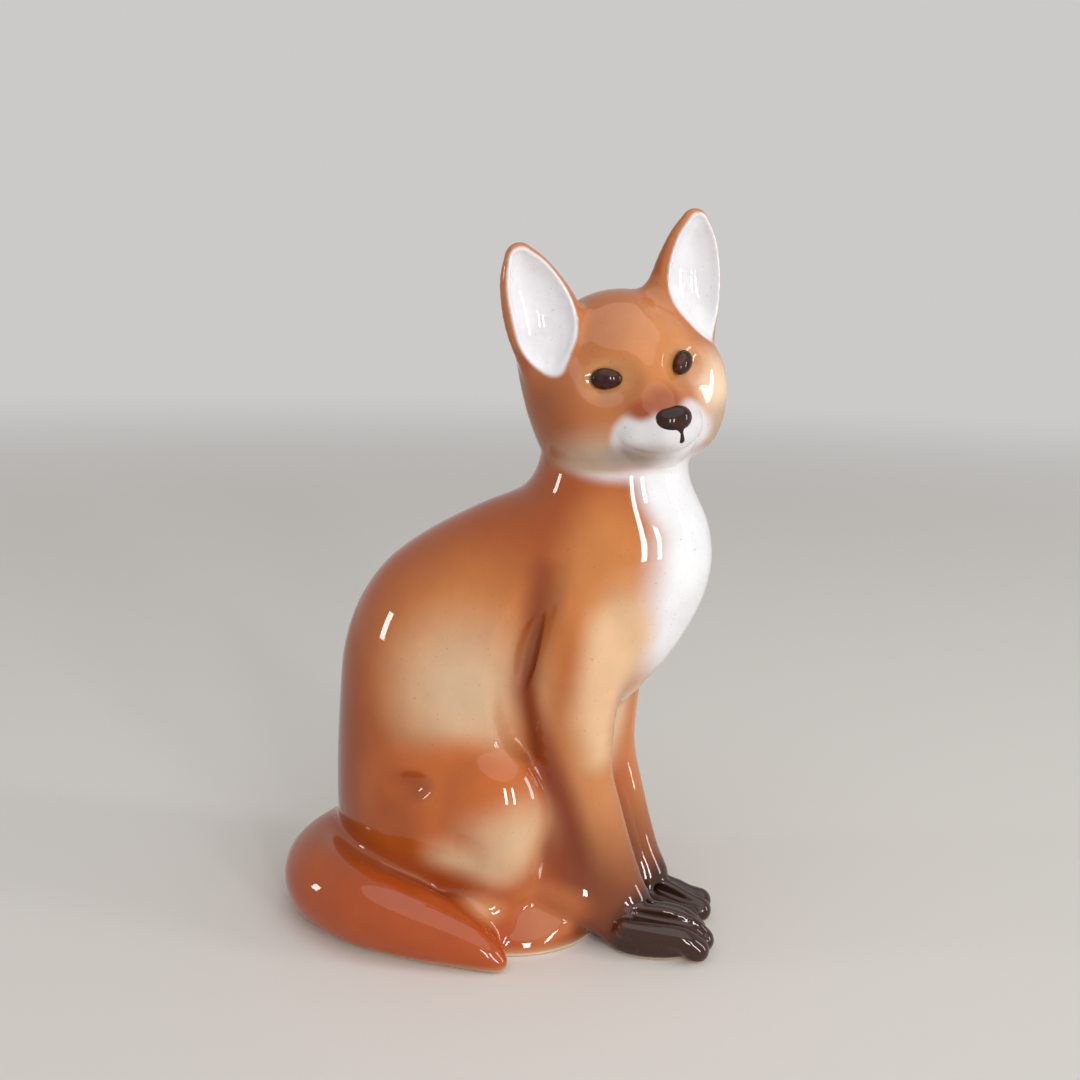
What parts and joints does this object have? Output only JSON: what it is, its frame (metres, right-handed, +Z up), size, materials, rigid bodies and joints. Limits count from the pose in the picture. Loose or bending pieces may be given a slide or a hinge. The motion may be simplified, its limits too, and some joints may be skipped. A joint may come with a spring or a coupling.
{
  "type": "animal figurine",
  "caption": "Glazed porcelain sitting fox with its head turned to its right, upright cupped ears and its tail wrapped round the base.",
  "frame": {"origin": "on the flat resting face, under the middle of the body", "axes": "+Z up, the chest faces -Y, the fox's own right side is -X"},
  "size_m": [0.0633, 0.0982, 0.1556],
  "materials": {
    "body_glaze": "burnt orange airbrushed under a clear glossy glaze, fading to cream on the flanks",
    "white_glaze": "white porcelain under a clear glossy glaze",
    "leg_glaze": "tan orange darkening to brown paws under a clear glossy glaze",
    "dark_glaze": "dark brown painted button under a clear glossy glaze"
  },
  "bodies": {
    "root": {"torso": "body_glaze", "head": "body_glaze", "right_ear": "white_glaze", "left_ear": "white_glaze", "right_foreleg": "leg_glaze", "left_foreleg": "leg_glaze", "right_hind_leg": "body_glaze", "left_hind_leg": "body_glaze", "tail": "body_glaze", "right_eye": "dark_glaze", "left_eye": "dark_glaze", "nose": "dark_glaze"}
  },
  "joints": []
}
